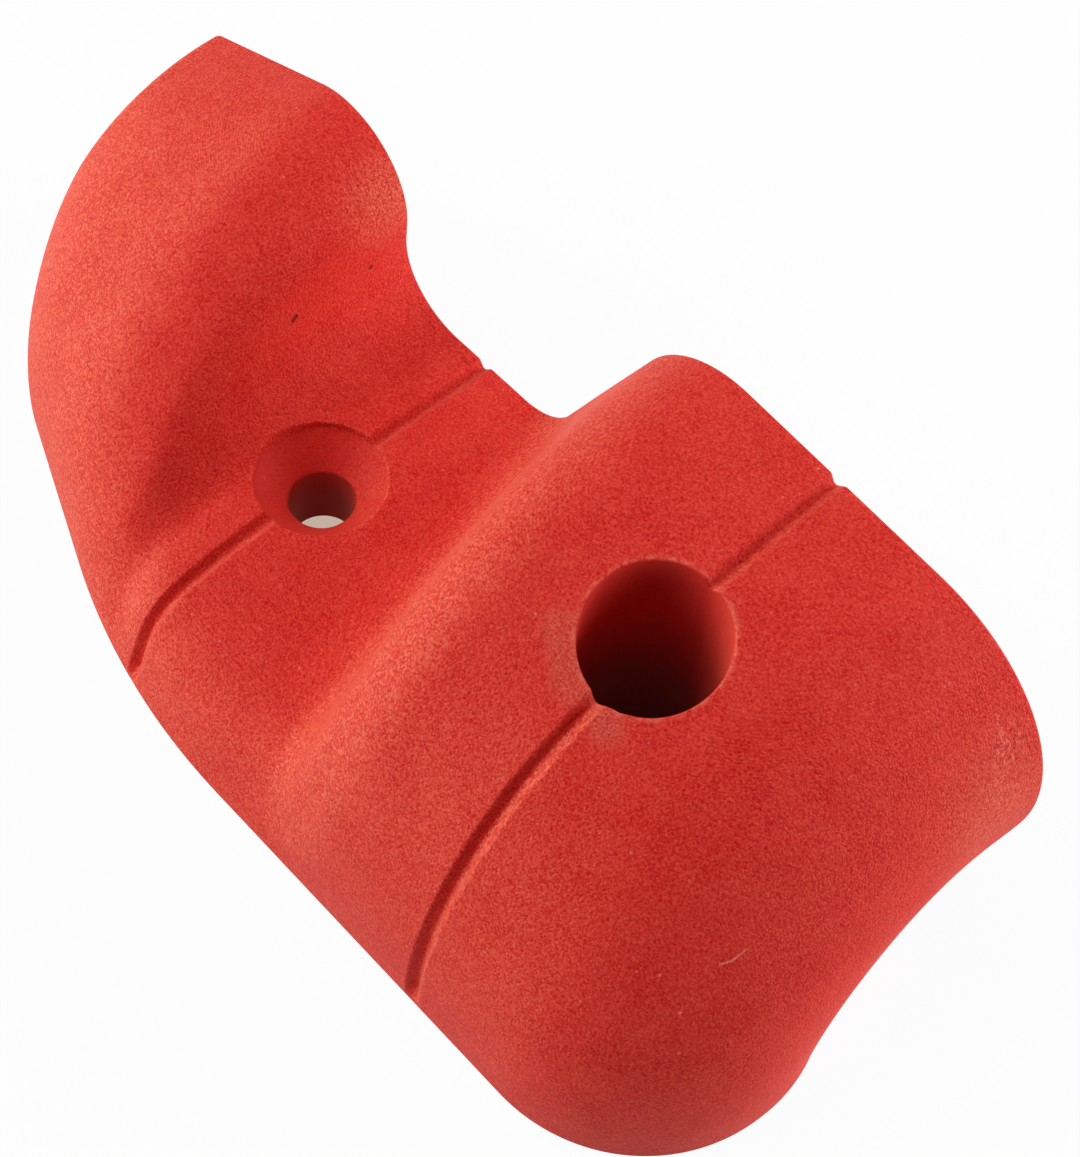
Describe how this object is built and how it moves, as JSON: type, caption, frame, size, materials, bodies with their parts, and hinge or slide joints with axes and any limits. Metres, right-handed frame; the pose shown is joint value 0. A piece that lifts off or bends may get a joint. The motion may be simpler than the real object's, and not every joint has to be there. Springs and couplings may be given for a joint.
{
  "type": "climbing training rung",
  "caption": "Bolt-on climbing grip in cast resin: a rounded lobe, a low saddle and a tall rounded hump on a flat back, screwed to a training wall.",
  "frame": {"origin": "on the wall face, midway between the two bolt holes", "axes": "+X along the length from the saddle's bolt hole to the hump's, +Y to the flat far side, +Z out of the wall"},
  "size_m": [0.201, 0.0789, 0.0623],
  "materials": {
    "red_resin": "fine sandy texture, cast in the mould",
    "washer_steel": "zinc plated, dull"
  },
  "bodies": {
    "root": {"hold_body": "red_resin", "seat_washer": "washer_steel"}
  },
  "joints": []
}
